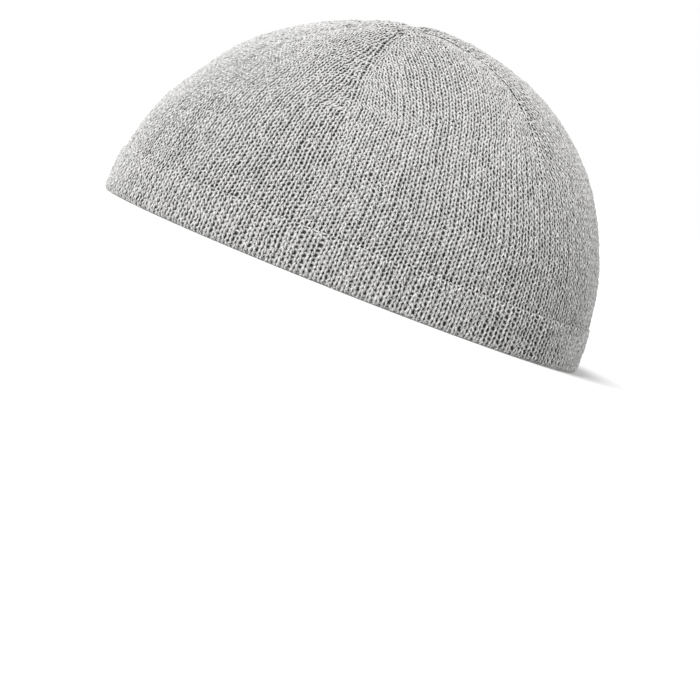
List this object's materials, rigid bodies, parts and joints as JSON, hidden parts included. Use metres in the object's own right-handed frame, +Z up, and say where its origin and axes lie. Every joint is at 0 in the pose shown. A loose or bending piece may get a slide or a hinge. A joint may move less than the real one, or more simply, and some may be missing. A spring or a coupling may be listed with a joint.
{
  "type": "knitted kufi",
  "caption": "Close-fitting knitted skull cap: a domed crown of gores drawn in to a closure near the top, standing on a doubled knitted band at its open rim.",
  "frame": {"origin": "on the surface that the rim stands on, under the middle of the cap's bounding box", "axes": "+Z up through the crown, -Y to the cap's front, +Y to its back, +X to the wearer's left"},
  "size_m": [0.1616, 0.205, 0.1073],
  "materials": {
    "knit": "heathered grey plain knit, matt and slightly fuzzy",
    "band_knit": "the same knit, doubled and stretched"
  },
  "bodies": {
    "root": {"crown": "knit", "hem_band": "band_knit"}
  },
  "joints": []
}
